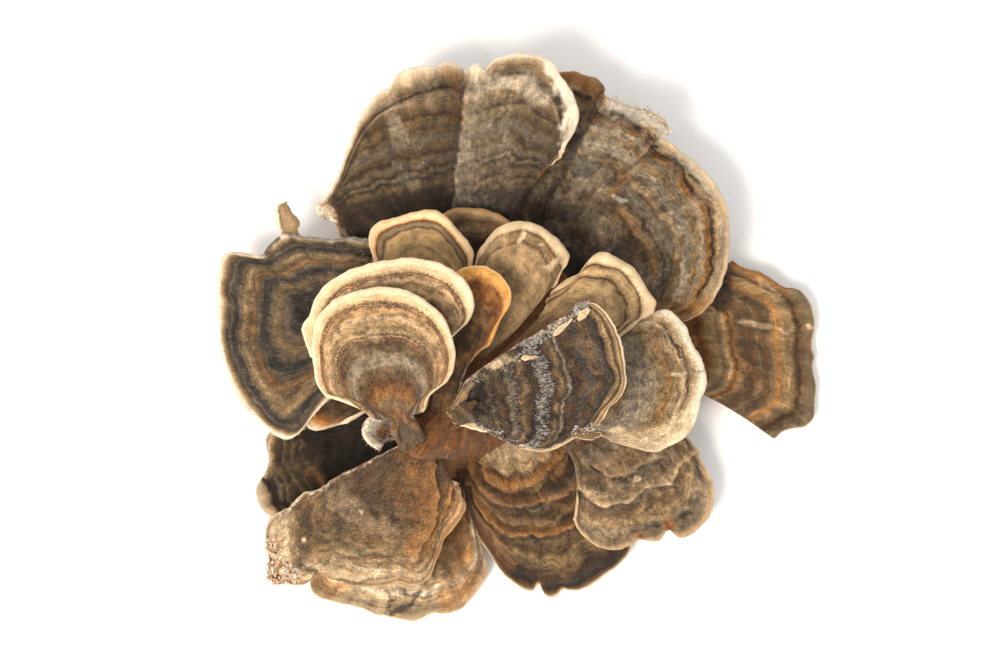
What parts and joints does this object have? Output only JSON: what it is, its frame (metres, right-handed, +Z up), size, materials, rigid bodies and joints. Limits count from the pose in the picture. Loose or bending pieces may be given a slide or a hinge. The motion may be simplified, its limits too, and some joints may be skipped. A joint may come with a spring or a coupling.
{
  "type": "turkey tail fungus",
  "caption": "Rosette of thin, overlapping, zoned bracket fungus caps grown from one base cut flat underneath, a dried woodland fungus for displays and forest scenes",
  "frame": {"origin": "on the flat cut under the middle of the rosette, so z = 0 is the surface it lies on", "axes": "+Z up out of the cut; +X and +Y lie in the cut, +X towards the single far fan on the right and +Y towards the two large upper fans, as seen from above"},
  "size_m": [0.1484, 0.1399, 0.0503],
  "materials": {
    "base_tissue": "matte fibrous fungus flesh",
    "brown_zoned_skin": "matte velvety fungus skin, leathery",
    "dark_zoned_skin": "matte velvety fungus skin, leathery",
    "tan_zoned_skin": "matte velvety fungus skin, leathery",
    "grey_zoned_skin": "matte velvety fungus skin, leathery",
    "cream_zoned_skin": "matte velvety fungus skin, leathery"
  },
  "bodies": {
    "root": {"fused_base": "base_tissue", "upper_left_fan": "brown_zoned_skin", "upper_right_fan": "brown_zoned_skin", "left_dark_cap": "dark_zoned_skin", "shaded_left_cap": "dark_zoned_skin", "small_edge_cap": "tan_zoned_skin", "lower_left_cap": "tan_zoned_skin", "lower_left_skirt": "tan_zoned_skin", "bottom_fan": "brown_zoned_skin", "lower_right_fan": "brown_zoned_skin", "far_right_fan": "tan_zoned_skin", "small_tan_cap": "tan_zoned_skin", "hidden_tan_cap": "tan_zoned_skin", "upper_tongue": "tan_zoned_skin", "lower_tongue": "tan_zoned_skin", "grey_fan": "grey_zoned_skin", "dark_wedge_cap": "grey_zoned_skin", "amber_cap": "cream_zoned_skin", "back_cream_cap": "cream_zoned_skin", "front_cream_cap": "cream_zoned_skin", "torn_curl": "grey_zoned_skin"}
  },
  "joints": []
}
